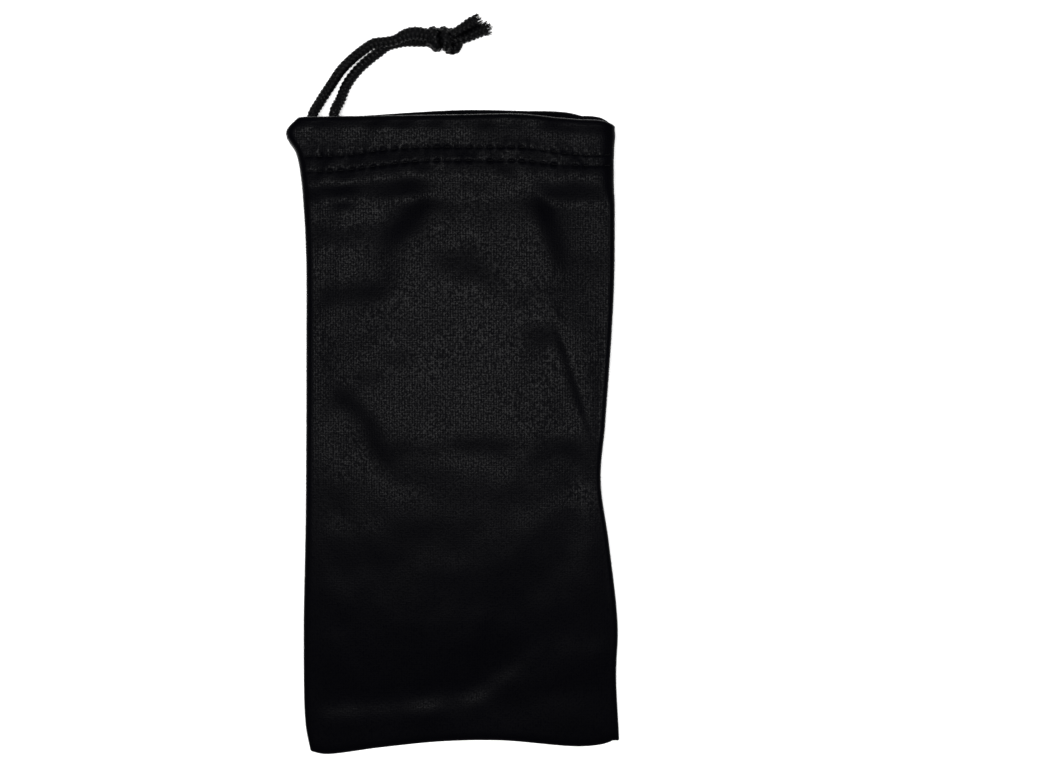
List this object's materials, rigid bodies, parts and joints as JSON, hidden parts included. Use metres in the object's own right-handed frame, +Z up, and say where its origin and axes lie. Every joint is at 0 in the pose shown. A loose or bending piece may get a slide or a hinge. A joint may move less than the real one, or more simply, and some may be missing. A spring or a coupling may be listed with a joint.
{
  "type": "drawstring glasses pouch",
  "caption": "Soft flat microfibre pouch for glasses, with a stitched hem at the mouth and a drawstring knotted at its free ends.",
  "frame": {"origin": "On the surface the pouch lies on, under the middle of the pouch without the free end of its drawstring.", "axes": "X is across the pouch, from the side seam (-X) to the fold (+X). Y is along it, from the closed bottom (-Y) to the mouth (+Y). Z is up, through its thickness."},
  "size_m": [0.0948, 0.211, 0.0139],
  "materials": {
    "cloth": "black microfibre cloth, fine knit grain, soft sheen",
    "thread": "black polyester sewing thread, slight shine",
    "cord": "black braided polyester drawstring, matt"
  },
  "bodies": {
    "pouch": {"front_panel": "cloth", "back_panel": "cloth", "side_seam_allowance": "cloth", "bottom_seam_allowance": "cloth", "front_upper_needle_thread": "thread", "front_upper_bobbin_thread": "thread", "front_lower_needle_thread": "thread", "front_lower_bobbin_thread": "thread", "back_upper_needle_thread": "thread", "back_upper_bobbin_thread": "thread", "back_lower_needle_thread": "thread", "back_lower_bobbin_thread": "thread", "side_seam_thread": "thread", "bottom_seam_thread": "thread", "drawstring_front_run": "cord", "drawstring_back_run": "cord"},
    "mouth_fold": {"mouth_corner": "cloth", "drawstring_far_bend": "cord", "corner_upper_needle_thread": "thread", "corner_lower_needle_thread": "thread"},
    "drawstring_end": {"drawstring_left_strand": "cord", "drawstring_right_strand": "cord", "knot": "cord", "left_tail": "cord", "right_tail": "cord"}
  },
  "joints": [
    {"name": "drawstring_pull", "type": "slide", "parent": "pouch", "child": "drawstring_end", "axis": [0.6, 0.8, 0], "range_m": [0, 0.048], "deforming": ["drawstring_left_strand", "drawstring_right_strand"]},
    {"name": "mouth_gather", "type": "slide", "parent": "pouch", "child": "mouth_fold", "axis": [-1, 0, 0], "range_m": [0, 0.048], "deforming": ["front_panel", "back_panel", "front_upper_needle_thread", "front_upper_bobbin_thread", "front_lower_needle_thread", "front_lower_bobbin_thread", "back_upper_needle_thread", "back_upper_bobbin_thread", "back_lower_needle_thread", "back_lower_bobbin_thread", "drawstring_front_run", "drawstring_back_run", "bottom_seam_allowance", "bottom_seam_thread"]}
  ],
  "couplings": [
    {"joint": "mouth_gather", "follows": "drawstring_pull", "ratio": 1}
  ]
}
